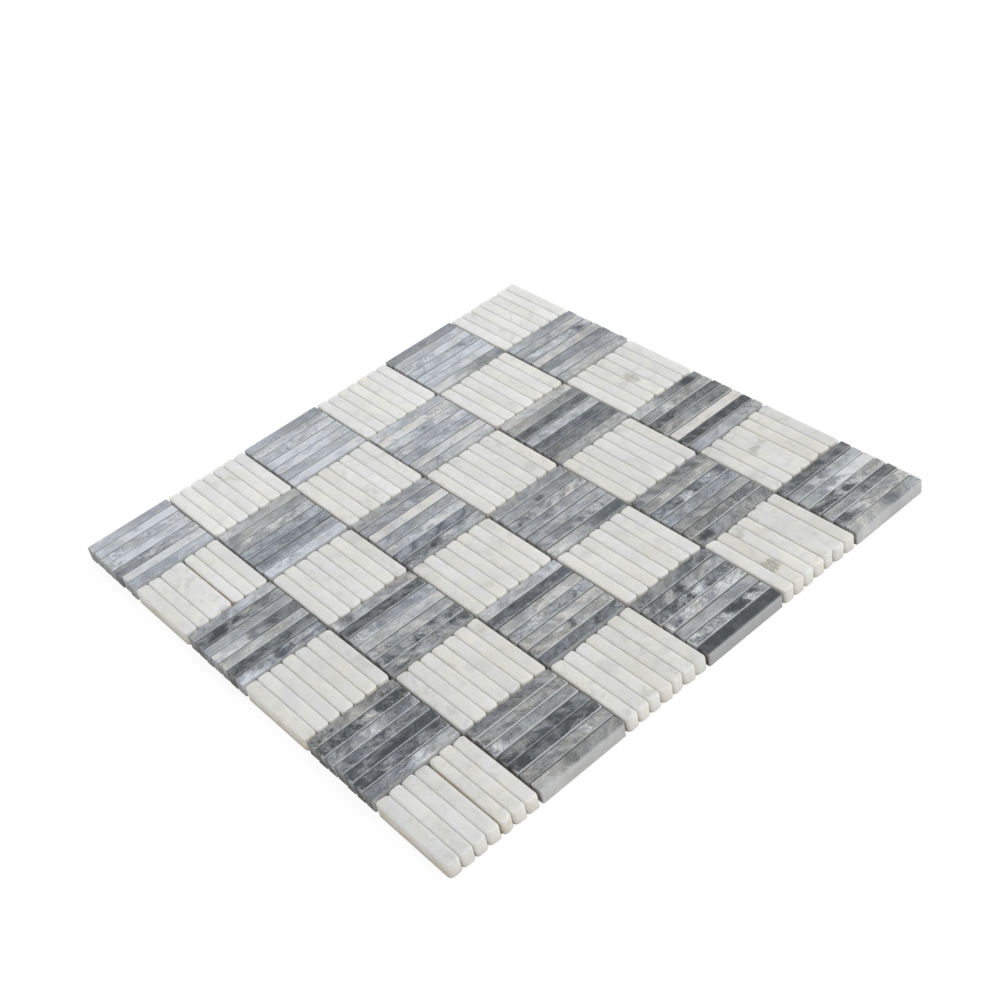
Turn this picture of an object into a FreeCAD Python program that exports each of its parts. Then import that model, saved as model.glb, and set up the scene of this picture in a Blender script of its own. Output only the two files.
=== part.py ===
"""Mosaic tile sheet: white and grey marble strips laid as a parquet of square blocks on a glass-fibre mesh.

Millimetres, +Z up. The origin is the centre of the sheet's back, which lies on the floor or in the adhesive,
and the polished face is up. Columns a, b, c and so on run along +X, and rows 1, 2, 3 and so on along +Y.
Every other block is white, with its strips lengthwise along Y. The grey strips between lie along X.
"""

import FreeCAD, Part
import math
import os

from FreeCAD import Vector

# Parquet
BLOCKS_PER_SIDE = 6
BLOCK_JOINT = 1.0
STRIPS_PER_BLOCK = 7
STRIP_LENGTH = 49.8
STRIP_THICKNESS = 8.0

# White strips, tumbled: round corners in plan and a soft edge round the face
WHITE_STRIP_GAP = 0.2
WHITE_CORNER_RADIUS = 1.8
WHITE_SOFT_EDGE = 0.7
DEGREES_PER_CORNER_FLAT = 45.0

# Grey strips, sawn: square corners and a narrow arris round the face
GREY_STRIP_GAP = 0.3
GREY_ARRIS = 0.3

# Glass-fibre mesh, glued under the strips: a layer of flat weft yarns and a layer of warp yarns on it
YARN_PITCH = 5.0
YARN_WIDTH = 1.0
YARN_THICKNESS = 0.2
MESH_EDGE_INSET = 2.0

# Limits that keep an edge's cut off the middle of its strip
WIDEST_EDGE_SHARE = 0.4
TOLERANCE = 1e-6
RIGHT_ANGLE = 90

# A block is square: its row of strips is as wide as a strip is long
BLOCK_SIDE = STRIP_LENGTH
BLOCK_PITCH = BLOCK_SIDE + BLOCK_JOINT
SHEET_SIDE = BLOCKS_PER_SIDE * BLOCK_PITCH - BLOCK_JOINT
MESH_SIDE = SHEET_SIDE - 2 * MESH_EDGE_INSET
MESH_THICKNESS = 2 * YARN_THICKNESS
COLUMN_LETTERS = "abcdefghijklmnopqrstuvwxyz"


def strip_width(gap):
    """Width of one strip, so that a block's strips and the gaps between them fill the block."""
    return (BLOCK_SIDE - (STRIPS_PER_BLOCK - 1) * gap) / STRIPS_PER_BLOCK


def rounded_face(length_x, length_y, radius):
    """Level face from the origin to (length_x, length_y), its round corners drawn with a few flats each."""
    centres = (
        (length_x - radius, length_y - radius),
        (radius, length_y - radius),
        (radius, radius),
        (length_x - radius, radius),
    )
    flats = math.ceil(RIGHT_ANGLE / DEGREES_PER_CORNER_FLAT)
    points = []
    for quarter, (centre_x, centre_y) in enumerate(centres):
        for step in range(flats + 1):
            angle = math.radians((quarter + step / flats) * RIGHT_ANGLE)
            points.append(Vector(centre_x + radius * math.cos(angle), centre_y + radius * math.sin(angle), 0))
    return Part.Face(Part.makePolygon(points + points[:1]))


def ease_face(strip, cut):
    """The strip with its polished face's edges cut back all round, on its sides and ends alike."""
    edges = [edge for edge in strip.Edges if edge.BoundBox.ZMin > STRIP_THICKNESS - TOLERANCE]
    return strip.makeChamfer(cut, edges)


def white_strip():
    """A tumbled strip, lengthwise along Y, with one corner at the origin."""
    width = strip_width(WHITE_STRIP_GAP)
    radius = min(WHITE_CORNER_RADIUS, WIDEST_EDGE_SHARE * width)
    soft_edge = min(WHITE_SOFT_EDGE, WIDEST_EDGE_SHARE * STRIP_THICKNESS, radius)
    strip = rounded_face(width, STRIP_LENGTH, radius).extrude(Vector(0, 0, STRIP_THICKNESS))
    return ease_face(strip, soft_edge)


def grey_strip():
    """A sawn strip, lengthwise along X, with one corner at the origin."""
    width = strip_width(GREY_STRIP_GAP)
    arris = min(GREY_ARRIS, WIDEST_EDGE_SHARE * width, WIDEST_EDGE_SHARE * STRIP_THICKNESS)
    return ease_face(Part.makeBox(STRIP_LENGTH, width, STRIP_THICKNESS), arris)


def block(strip, gap, across, corner):
    """Copies of a strip side by side, in the direction across, from the block's corner on the mesh."""
    pitch = strip_width(gap) + gap
    copies = [strip.translated(corner + across * (place * pitch)) for place in range(STRIPS_PER_BLOCK)]
    return Part.makeCompound(copies)


def yarn_layer(yarn, step):
    """As many copies of a yarn as the mesh has room for along step, centred on the sheet."""
    count = int((MESH_SIDE - YARN_WIDTH) / YARN_PITCH) + 1
    middle = (count - 1) / 2
    return Part.makeCompound([yarn.translated(step * ((index - middle) * YARN_PITCH)) for index in range(count)])


def weft_yarns():
    """The lower layer of the mesh: yarns lengthwise along X, lying on the floor."""
    yarn = Part.makeBox(MESH_SIDE, YARN_WIDTH, YARN_THICKNESS, Vector(-MESH_SIDE / 2, -YARN_WIDTH / 2, 0))
    return yarn_layer(yarn, Vector(0, 1, 0))


def warp_yarns():
    """The upper layer of the mesh: yarns lengthwise along Y, on the weft and under the stone."""
    corner = Vector(-YARN_WIDTH / 2, -MESH_SIDE / 2, YARN_THICKNESS)
    return yarn_layer(Part.makeBox(YARN_WIDTH, MESH_SIDE, YARN_THICKNESS, corner), Vector(1, 0, 0))


def sheet_nodes():
    """Every named node of the sheet, with its shape in place."""
    nodes = {"mesh_weft_yarns": weft_yarns(), "mesh_warp_yarns": warp_yarns()}
    white = white_strip()
    grey = grey_strip()
    for column in range(BLOCKS_PER_SIDE):
        for row in range(BLOCKS_PER_SIDE):
            place = f"{COLUMN_LETTERS[column]}{row + 1}"
            corner_x = column * BLOCK_PITCH - SHEET_SIDE / 2
            corner_y = row * BLOCK_PITCH - SHEET_SIDE / 2
            corner = Vector(corner_x, corner_y, MESH_THICKNESS)
            if (column + row) % 2 == 0:
                nodes[f"white_block_{place}"] = block(white, WHITE_STRIP_GAP, Vector(1, 0, 0), corner)
            else:
                nodes[f"grey_block_{place}"] = block(grey, GREY_STRIP_GAP, Vector(0, 1, 0), corner)
    return nodes


def main():
    """Writes one STEP file for each node."""
    os.makedirs("parts", exist_ok=True)
    for name, shape in sheet_nodes().items():
        shape.exportStep(f"parts/{name}.step")


main()
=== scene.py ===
"""Dresses the marble mosaic sheet: tumbled white strips and sawn grey strips on a woven glass-fibre mesh.

Metres, +Z up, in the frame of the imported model. Blocks are named by column, a to f along +X, and by row,
1 to 6 along +Y, and the strips of a block are numbered from 1 along +X in white and along +Y in grey.
"""

import logging
import math
import random
from dataclasses import dataclass
from enum import Enum

import bmesh
import bpy
import numpy as np
from mathutils import Matrix, Vector


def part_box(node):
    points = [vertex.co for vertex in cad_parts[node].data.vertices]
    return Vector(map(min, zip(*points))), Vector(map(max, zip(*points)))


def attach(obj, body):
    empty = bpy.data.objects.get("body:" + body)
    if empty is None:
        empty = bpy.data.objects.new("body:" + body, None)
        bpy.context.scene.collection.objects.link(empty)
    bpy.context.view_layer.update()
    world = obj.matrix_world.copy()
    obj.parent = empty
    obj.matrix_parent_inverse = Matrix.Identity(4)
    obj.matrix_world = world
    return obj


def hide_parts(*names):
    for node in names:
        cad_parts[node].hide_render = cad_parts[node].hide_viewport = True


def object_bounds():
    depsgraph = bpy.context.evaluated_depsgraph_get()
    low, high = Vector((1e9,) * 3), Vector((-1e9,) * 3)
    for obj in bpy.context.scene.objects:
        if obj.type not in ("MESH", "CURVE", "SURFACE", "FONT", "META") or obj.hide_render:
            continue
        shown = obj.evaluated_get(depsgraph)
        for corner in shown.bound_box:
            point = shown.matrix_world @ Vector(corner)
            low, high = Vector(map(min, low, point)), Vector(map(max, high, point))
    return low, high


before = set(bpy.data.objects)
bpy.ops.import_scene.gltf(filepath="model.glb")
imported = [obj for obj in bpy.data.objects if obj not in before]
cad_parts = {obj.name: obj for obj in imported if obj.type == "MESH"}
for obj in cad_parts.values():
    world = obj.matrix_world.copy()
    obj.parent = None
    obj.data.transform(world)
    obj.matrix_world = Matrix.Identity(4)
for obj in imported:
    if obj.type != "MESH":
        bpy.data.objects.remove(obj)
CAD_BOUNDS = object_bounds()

logging.basicConfig(level=logging.INFO, format="%(message)s")
log = logging.getLogger("mosaic")

MM = 0.001
COLUMNS = "abcdef"
ROWS = 6
STRIPS = 7
WHITE_GAP = 0.04 * MM
GREY_GAP = 0.25 * MM
WHITE_SEED = 11
GREY_SEED = 23
YARN_SEED = 5
YARN_MAP = "yarn_uv"
QUARTER_TURN = math.pi / 2

SHADER, GEOMETRY = "ShaderNodeTree", "GeometryNodeTree"
VECTOR, WHOLE, SHAPE = "NodeSocketVector", "NodeSocketInt", "NodeSocketGeometry"
EVEN = (0.5, 0.5, 0.5)


class Run(Enum):
    """The axis that a strip or a yarn lies along."""

    ALONG_X = 0
    ALONG_Y = 1


class Tone(Enum):
    """How light a grey strip's polished face is, from 0 for black marble to 1 for white."""

    NEAR_BLACK = 0.10
    CHARCOAL = 0.22
    SLATE = 0.33
    STEEL = 0.45
    ASH = 0.56
    SILVER = 0.68
    PALE = 0.86


NEAR_BLACK, CHARCOAL, SLATE, STEEL, ASH, SILVER, PALE = Tone


@dataclass(frozen=True)
class Cut:
    """How one strip was cut from the quarry's block. Without a far tone it is even, and warmth 0 is left to chance."""

    near: Tone
    clouds: float = 0.5
    warmth: float = 0.0
    far: Tone | None = None


@dataclass(frozen=True)
class Spot:
    """The one blotch or fleck of a strip: its share of the way along, its size in millimetres and its shade."""

    along: float
    size: float
    shade: float


def srgb(red: int, green: int, blue: int) -> tuple[float, float, float, float]:
    """Turns a colour written as 0 to 255 on screen into the linear colour that a shader takes.

    Args:
        red: Red on screen.
        green: Green on screen.
        blue: Blue on screen.

    Returns:
        The linear colour with an alpha of 1.
    """
    channels = [value / 255 for value in (red, green, blue)]
    linear = [c / 12.92 if c <= 0.04045 else ((c + 0.055) / 1.055) ** 2.4 for c in channels]
    return (*linear, 1.0)


class Signal:
    """A node's output, which sums can be written with: each +, -, * or / adds a math node."""

    def __init__(self, wiring: "Wiring", socket: bpy.types.NodeSocket) -> None:
        """Keeps the socket, its wiring and whether it carries a vector or a colour."""
        self.wiring, self.socket, self.wide = wiring, socket, socket.type in ("VECTOR", "RGBA")

    def __add__(self, other: object) -> "Signal":
        """This plus another value."""
        return self.wiring.math("ADD", self, other)

    def __radd__(self, other: object) -> "Signal":
        """Another value plus this."""
        return self.wiring.math("ADD", other, self)

    def __sub__(self, other: object) -> "Signal":
        """This less another value."""
        return self.wiring.math("SUBTRACT", self, other)

    def __rsub__(self, other: object) -> "Signal":
        """Another value less this."""
        return self.wiring.math("SUBTRACT", other, self)

    def __mul__(self, other: object) -> "Signal":
        """This times another value."""
        return self.wiring.math("MULTIPLY", self, other)

    def __truediv__(self, other: object) -> "Signal":
        """This divided by another value."""
        return self.wiring.math("DIVIDE", self, other)

    def __rtruediv__(self, other: object) -> "Signal":
        """Another value divided by this."""
        return self.wiring.math("DIVIDE", other, self)

    def smooth(self, low: object, high: object) -> "Signal":
        """A soft mask of this value, 0 at low and 1 at high."""
        inputs = {"Value": self, "From Min": low, "From Max": high}
        return self.wiring.node("ShaderNodeMapRange", inputs, interpolation_type="SMOOTHSTEP")["Result"]


class Placed:
    """A node that has been placed in a tree, whose outputs are read by name or number."""

    def __init__(self, wiring: "Wiring", node: bpy.types.Node) -> None:
        """Keeps the node and the wiring of its tree."""
        self.wiring, self.node = wiring, node

    def __getitem__(self, output: str | int) -> Signal:
        """One of the node's outputs."""
        return Signal(self.wiring, self.node.outputs[output])


class Wiring:
    """Adds nodes to one tree and joins their sockets."""

    def __init__(self, tree: bpy.types.NodeTree) -> None:
        """Remembers the tree that the nodes go into."""
        self.tree = tree

    def fill(self, node: bpy.types.Node, inputs: dict) -> None:
        """Feeds a node's inputs.

        Args:
            node: The node.
            inputs: By the input's name or number, a signal to link or a constant to set.
        """
        for socket, value in inputs.items():
            if isinstance(value, Signal):
                self.tree.links.new(value.socket, node.inputs[socket])
            else:
                node.inputs[socket].default_value = value

    def node(self, kind: str, inputs: dict | None = None, **settings: object) -> Placed:
        """Adds one node.

        Args:
            kind: The node's type name.
            inputs: What feeds it, by the input's name or number.
            **settings: Its properties, by name.

        Returns:
            The placed node.
        """
        made = self.tree.nodes.new(kind)
        for name, value in settings.items():
            setattr(made, name, value)
        self.fill(made, inputs or {})
        return Placed(self, made)

    def math(self, operation: str, *terms: object, clamp: bool = False) -> Signal:
        """Adds a Math node, or a Vector Math node where a term is a vector or a colour.

        Args:
            operation: Which sum to do. A vector times a single value is scaled.
            *terms: Its terms in order, as signals, numbers or vectors.
            clamp: Whether a single result is kept between 0 and 1.

        Returns:
            The result.
        """
        wide = [term.wide if isinstance(term, Signal) else isinstance(term, tuple) for term in terms]
        if not any(wide):
            return self.node("ShaderNodeMath", dict(enumerate(terms)), operation=operation, use_clamp=clamp)[0]
        if operation == "MULTIPLY" and not all(wide):
            return self.node("ShaderNodeVectorMath", {0: terms[0], "Scale": terms[1]}, operation="SCALE")[0]
        return self.node("ShaderNodeVectorMath", dict(enumerate(terms)), operation=operation)[0]

    def vector(self, **parts: object) -> Signal:
        """A vector of the parts X, Y and Z that are given."""
        return self.node("ShaderNodeCombineXYZ", parts)[0]

    def random(self, low: Signal, high: Signal, number: Signal, seed: Signal) -> Signal:
        """A vector between low and high, drawn with a fixed seed for each number."""
        inputs = {0: low, 1: high, 7: number, 8: seed}
        return self.node("FunctionNodeRandomValue", inputs, data_type="FLOAT_VECTOR")[0]

    def noise(self, at: Signal, scale: object, detail: float = 3.0, rough: object = 0.5,
              colour: bool = False) -> Signal:
        """Adds a Noise Texture.

        Args:
            at: Where to read the pattern.
            scale: Repeats per unit of that place.
            detail: Octaves of finer pattern.
            rough: How much the finer octaves count.
            colour: Whether the three-channel output is wanted.

        Returns:
            The pattern.
        """
        inputs = {"Vector": at, "Scale": scale, "Detail": detail, "Roughness": rough}
        return self.node("ShaderNodeTexNoise", inputs)["Color" if colour else "Fac"]

    def mix(self, share: object, first: object, second: object, blend: str = "MIX") -> Signal:
        """Mixes two colours: the first at share 0, the second at share 1."""
        return self.node("ShaderNodeMix", {0: share, 6: first, 7: second}, data_type="RGBA", blend_type=blend)[2]

    def ramp(self, value: Signal, *stops: tuple[float, tuple]) -> Signal:
        """Adds a Color Ramp.

        Args:
            value: The value that picks the colour.
            *stops: Places along the ramp with their colours, in order.

        Returns:
            The colour.
        """
        made = self.node("ShaderNodeValToRGB", {0: value})
        elements = made.node.color_ramp.elements
        while len(elements) < len(stops):
            elements.new(0.5)
        for element, (place, colour) in zip(elements, stops):
            element.position, element.color = place, colour
        return made[0]

    def own(self, name: str, part: str = "Fac") -> Signal:
        """One of the mesh's own attributes, in a material."""
        return self.node("ShaderNodeAttribute", attribute_name=name)[part]

    def named(self, name: str) -> Signal:
        """One of the geometry's own attributes, in a geometry tree."""
        return self.node("GeometryNodeInputNamedAttribute", {"Name": name}, data_type="FLOAT")["Attribute"]

    def here(self) -> Signal:
        """The shaded point's place on the sheet, in millimetres."""
        return self.node("ShaderNodeTexCoord")["Object"] * (1 / MM)

    def group(self, tree: bpy.types.NodeTree, **values: object) -> Placed:
        """Places a node group with its inputs by name, underscores standing for spaces."""
        return self.node("ShaderNodeGroup", by_name(values), node_tree=tree)

    def give(self, **values: object) -> bpy.types.NodeTree:
        """Ends a group with its outputs by name, and hands over its tree."""
        self.node("NodeGroupOutput", by_name(values))
        return self.tree

    def relief(self, shader: bpy.types.Node, height: Signal) -> None:
        """Gives a shader fine relief from a height in millimetres."""
        self.fill(shader, {"Normal": self.node("ShaderNodeBump", {"Distance": MM, "Height": height})["Normal"]})


def by_name(values: dict[str, object]) -> dict[str, object]:
    """Turns keyword names into the names of sockets, with spaces for underscores."""
    return {name.replace("_", " "): value for name, value in values.items()}


@dataclass(frozen=True)
class Port:
    """One named socket of a node group."""

    name: str
    kind: str = "NodeSocketFloat"
    value: object = None


def new_group(name: str, kind: str, inputs: tuple[Port, ...], outputs: tuple[Port, ...]) -> tuple[Wiring, Placed]:
    """Starts a node group with its sockets.

    Args:
        name: The group's name.
        kind: Whether it is a shader or a geometry tree.
        inputs: The sockets that it takes.
        outputs: The sockets that it gives.

    Returns:
        The group's wiring and its inputs.
    """
    tree = bpy.data.node_groups.new(name, kind)
    for side, ports in (("INPUT", inputs), ("OUTPUT", outputs)):
        for port in ports:
            socket = tree.interface.new_socket(name=port.name, in_out=side, socket_type=port.kind)
            if port.value is not None:
                socket.default_value = port.value
    wiring = Wiring(tree)
    return wiring, wiring.node("NodeGroupInput")


def new_material(name: str) -> tuple[bpy.types.Material, Wiring, bpy.types.Node]:
    """Starts a material.

    Args:
        name: The material's name.

    Returns:
        The material, its wiring and its Principled shader.
    """
    finish = bpy.data.materials.new(name)
    finish.use_nodes = True
    return finish, Wiring(finish.node_tree), finish.node_tree.nodes["Principled BSDF"]


class StoneEffects:
    """The effects that both marbles share, each one a node group that is built once."""

    def __init__(self) -> None:
        """Builds the five groups."""
        self.place, self.spot, self.clouds = self.quarry_place(), self.stone_spot(), self.cloud_cover()
        self.veins, self.surface = self.vein_lines(), self.stone_surface()

    @staticmethod
    def quarry_place() -> bpy.types.NodeTree:
        """Where in the quarry's block a point of a strip was cut, in millimetres along the stone's bedding.

        Returns:
            The group, which puts out the place.
        """
        w, _ = new_group("quarry_place", SHADER, (), (Port("Place", VECTOR),))
        inputs = {"Vector": w.here(), "Angle": w.own("bedding")}
        turned = w.node("ShaderNodeVectorRotate", inputs, rotation_type="Z_AXIS")
        return w.give(Place=turned[0] + w.own("patch", "Vector"))

    @staticmethod
    def stone_spot() -> bpy.types.NodeTree:
        """The one blotch or fleck that a strip may have, with a ragged outline.

        Returns:
            The group, which puts out a mask of the spot.
        """
        w, given = new_group("stone_spot", SHADER, (Port("Raggedness", value=9.0),), (Port("Spot"),))
        here = w.here()
        bend = w.noise(here, 0.3, colour=True) - EVEN
        bent = here + bend * given["Raggedness"]
        level = (bent - w.vector(X=w.own("spot_x"), Y=w.own("spot_y"))) * (1.0, 1.0, 0.0)
        away = w.node("ShaderNodeVectorMath", {0: level}, operation="LENGTH")["Value"]
        least_size = 0.001
        size = w.math("MAXIMUM", w.own("spot_size"), least_size)
        return w.give(Spot=1.0 - (away / size).smooth(0.35, 1.25))

    @staticmethod
    def cloud_cover() -> bpy.types.NodeTree:
        """Clouds with soft outlines, finer mottling, a slow drift of tint and broad shading.

        Returns:
            The group, which puts out the four patterns, all about 0.5.
        """
        inputs = (Port("Place", VECTOR), Port("Stretch", VECTOR, (1.0, 1.0, 1.0)), Port("Size", value=8.0),
                  Port("Mottle Size", value=1.4), Port("Fold", value=5.0), Port("Level", value=0.5),
                  Port("Softness", value=0.15))
        outputs = (Port("Clouds"), Port("Mottling"), Port("Tint"), Port("Shade"))
        w, given = new_group("cloud_cover", SHADER, inputs, outputs)
        drawn = given["Place"] * given["Stretch"]
        folded = drawn + (w.noise(drawn, 0.16, colour=True) - EVEN) * given["Fold"]
        clouds = w.noise(folded, 1.0 / given["Size"], detail=4.0, rough=0.6)
        low, high = given["Level"] - given["Softness"], given["Level"] + given["Softness"]
        return w.give(Clouds=clouds.smooth(low, high),
                      Mottling=w.noise(folded, 1.0 / given["Mottle Size"], rough=0.75),
                      Tint=w.noise(folded + (31.0, 77.0, 5.0), 0.12, detail=2.0),
                      Shade=w.noise(folded + (11.0, 53.0, 91.0), 0.06, detail=1.0))

    @staticmethod
    def vein_lines() -> bpy.types.NodeTree:
        """Thin veins that come and go.

        Returns:
            The group, which puts out a mask of the veins.
        """
        inputs = (Port("Place", VECTOR), Port("Size", value=20.0), Port("Width", value=0.02),
                  Port("Rarity", value=0.5), Port("Raggedness", value=0.6))
        w, given = new_group("vein_lines", SHADER, inputs, (Port("Veins"),))
        course = w.noise(given["Place"], 1.0 / given["Size"], detail=5.0, rough=given["Raggedness"])
        line = 1.0 - w.math("ABSOLUTE", course - 0.5).smooth(0.0, given["Width"])
        patches = w.noise(given["Place"] + (71.0, 13.0, 47.0), 0.05, detail=2.0)
        return w.give(Veins=line * patches.smooth(given["Rarity"], given["Rarity"] + 0.12))

    @staticmethod
    def stone_surface() -> bpy.types.NodeTree:
        """Crystal grain all over, saw marks on the flanks, the broken arris and the low part of the flanks, where shade
        is painted.

        Returns:
            The group, which puts out a grain, a height in millimetres and masks of the flanks, ends, arris and the low
            part of the upright faces, where shade is painted.
        """
        inputs = (Port("Grain Size", value=0.35), Port("Grain Depth", value=0.01), Port("Saw Depth", value=0.02),
                  Port("Arris", value=0.6), Port("Foot Height", value=5.0))
        outputs = (Port("Grain"), Port("Height"), Port("Flank"), Port("End"), Port("Dust"), Port("Foot"))
        w, given = new_group("stone_surface", SHADER, inputs, outputs)
        here, side, upright = w.here(), w.own("side"), w.own("upright")
        grain = w.noise(here, 1.0 / given["Grain Size"], detail=2.0, rough=0.6)
        saw = w.noise(here * (0.25, 0.25, 3.0), 1.0, detail=2.0)
        corner = (side * (1.0 - side) * upright).smooth(0.08, 0.18) * 0.8
        ragged = (w.noise(here, 0.7, detail=4.0, rough=0.7) - 0.5) * 1.1
        wear = w.math("MAXIMUM", w.own("wear"), corner) + ragged
        # Foot: 1 at the base of the upright faces, fading by Foot Height; the marbles paint shade with it
        raised = w.node("ShaderNodeSeparateXYZ", {0: here})["Z"].smooth(0.0, given["Foot Height"])
        return w.give(Grain=grain, Height=grain * given["Grain Depth"] + saw * given["Saw Depth"] * upright,
                      Flank=upright * side, End=upright * (1.0 - side),
                      Dust=wear.smooth(given["Arris"] - 0.25, given["Arris"] + 0.25), Foot=(1.0 - raised) * upright)


@dataclass(frozen=True)
class WhiteMarble:
    """Honed creamy white marble with faint clouds, a few grey-green veins, iron stains on its flanks and painted shade
    low on its flanks.
    """

    creamy: tuple = srgb(227, 226, 218)
    cool: tuple = srgb(225, 226, 225)
    cloud: tuple = srgb(199, 199, 196)
    vein: tuple = srgb(158, 157, 144)
    fleck: tuple = srgb(132, 130, 116)
    sawn: tuple = srgb(231, 228, 220)
    stain: tuple = srgb(205, 195, 170)
    # foot: the colour of painted shade low on the flanks and ends
    foot: tuple = srgb(168, 160, 143)
    tint_drift: float = 2.6
    mottle_depth: float = 0.19
    shade_depth: float = 0.22
    grain_depth: float = 0.10
    fleck_body: float = 0.28
    polish: float = 0.46
    glow_depth: float = 2.6 * MM

    def material(self, effects: StoneEffects) -> bpy.types.Material:
        """Builds the stone's material.

        Args:
            effects: The shared groups.

        Returns:
            The material, for meshes that hold a marble strip's attributes.
        """
        finish, w, shader = new_material("white_marble")
        place = w.group(effects.place)["Place"]
        cover = w.group(effects.clouds, Place=place, Stretch=(1.0, 0.8, 1.0), Size=5.0, Mottle_Size=1.2, Fold=5.0,
                        Level=0.58, Softness=0.08)
        veins = w.group(effects.veins, Place=place, Size=26.0, Width=0.04, Rarity=0.5, Raggedness=0.45)["Veins"]
        skin = w.group(effects.surface, Grain_Size=0.45, Grain_Depth=0.012, Saw_Depth=0.03, Arris=0.9)
        sides, grain, mottling = skin["Flank"] + skin["End"], skin["Grain"] - 0.5, cover["Mottling"] - 0.5
        drift = (cover["Tint"] - 0.5) * self.tint_drift
        colour = w.mix(w.math("ADD", w.own("warmth"), drift, clamp=True), self.cool, self.creamy)
        colour = w.mix(cover["Clouds"] * w.own("cloudiness"), colour, self.cloud)
        uneven = mottling * self.mottle_depth + (cover["Shade"] - 0.5) * self.shade_depth
        colour = colour * (w.own("tone") + uneven + grain * self.grain_depth)
        colour = w.mix(veins * w.own("veining"), colour, self.vein)
        threads = 1.0 - w.math("ABSOLUTE", mottling).smooth(0.0, 0.08)
        spot = w.group(effects.spot)["Spot"] * w.own("spot_shade")
        colour = w.mix(spot * (self.fleck_body + threads * (1 - self.fleck_body)), colour, self.fleck)
        colour = w.mix(sides * 0.5, colour, self.sawn)
        # Painted shade: darker and browner towards the foot of the flanks and, a little, of the ends
        colour = w.mix(skin["Foot"] * (0.12 + skin["Flank"] * 0.5), colour, self.foot)
        blotch = w.noise(place, 0.11).smooth(0.35, 0.75) * (skin["Flank"] + skin["End"] * 0.35)
        colour = w.mix(blotch * w.own("stain"), colour, self.stain)
        w.fill(shader, {"Base Color": colour, "Roughness": self.polish + sides * 0.3 + grain * 0.12,
                        "Subsurface Weight": 0.8, "Subsurface Radius": (1.0, 0.98, 0.94),
                        "Subsurface Scale": self.glow_depth})
        w.relief(shader, skin["Height"])
        return finish


@dataclass(frozen=True)
class GreyMarble:
    """Honed grey marble from black to pale, clouded and mottled, with powdery sawn arrises and outer flanks, and
    painted shade on the flanks in the gaps and low on the ends.
    """

    tones: tuple = (srgb(60, 65, 69), srgb(97, 101, 105), srgb(131, 134, 137), srgb(157, 160, 162),
                    srgb(184, 186, 187), srgb(214, 215, 214))
    darkest: float = 0.05
    tone_step: float = 0.18
    blue_light: tuple = (0.95, 0.995, 1.09, 1.0)
    warm_light: tuple = (1.04, 1.0, 0.94, 1.0)
    dust: tuple = srgb(210, 213, 216)
    sawn: tuple = srgb(206, 206, 205)
    cut_end: tuple = srgb(112, 104, 93)
    # The colour of painted shade, in the gaps between strips and low on the ends
    painted_shade: tuple = srgb(84, 82, 77)
    tint_drift: float = 1.7
    mottle_depth: float = 2.1
    shade_depth: float = 0.40
    grain_depth: float = 0.65
    polish: float = 0.40
    glow_depth: float = 1.2 * MM

    def material(self, effects: StoneEffects) -> bpy.types.Material:
        """Builds the stone's material.

        Args:
            effects: The shared groups.

        Returns:
            The material, for meshes that hold a marble strip's attributes.
        """
        finish, w, shader = new_material("grey_marble")
        place = w.group(effects.place)["Place"]
        cover = w.group(effects.clouds, Place=place, Stretch=(0.62, 1.0, 1.0), Size=w.own("cloud_size"),
                        Mottle_Size=1.2, Fold=5.0, Softness=0.15)
        veins = w.group(effects.veins, Place=place, Size=10.0, Width=0.035, Rarity=0.46)["Veins"]
        skin = w.group(effects.surface, Grain_Size=0.6, Grain_Depth=0.01, Saw_Depth=0.03, Arris=0.75)
        flank, end, dust, open_side = skin["Flank"], skin["End"], skin["Dust"], w.own("open_side")
        grain, clouds, mottling = skin["Grain"] - 0.5, cover["Clouds"] - 0.5, cover["Mottling"] - 0.5
        passed = (w.own("along") + clouds * 0.3).smooth(0.28, 0.62)
        tone = w.own("far_tone") * passed + w.own("tone") * (1.0 - passed)
        level = tone + (clouds + mottling * self.mottle_depth) * w.own("cloudiness")
        level = level + ((cover["Shade"] - 0.5) * self.shade_depth + grain * self.grain_depth)
        level = level + veins * w.own("veining")
        spot = w.group(effects.spot)["Spot"] * w.own("spot_shade")
        level = level + spot * (0.95 + mottling * 1.5)
        colour = w.ramp(level, *((self.darkest + self.tone_step * step, stop) for step, stop in enumerate(self.tones)))
        drift = (cover["Tint"] - 0.5) * self.tint_drift
        light = w.mix(w.math("ADD", w.own("warmth"), drift, clamp=True), self.blue_light, self.warm_light)
        colour = w.mix(1.0, colour, light, "MULTIPLY")
        open_flank = flank * open_side
        # Painted shade on the flanks inside the narrow gaps between strips; only the open outer flanks keep the pale
        # sawn colour
        colour = w.mix((flank - open_flank) * 0.6, colour, self.painted_shade)
        colour = w.mix(open_flank * 0.6, colour, self.sawn)
        colour = w.mix(end * 0.45, colour, self.cut_end)
        colour = w.mix(dust * (w.own("powder") * (1.0 - open_side * 0.6)), colour, self.dust)
        # Painted shade towards the foot of the ends and, faintly, of the flanks
        colour = w.mix(skin["Foot"] * (0.03 + end * 0.32), colour, self.painted_shade)
        worn = w.math("MAXIMUM", flank + end, dust)
        w.fill(shader, {"Base Color": colour, "Roughness": self.polish + worn * 0.38 + grain * 0.12,
                        "Subsurface Weight": 0.3, "Subsurface Radius": (1.0, 1.0, 1.0),
                        "Subsurface Scale": self.glow_depth})
        w.relief(shader, skin["Height"])
        return finish


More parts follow.
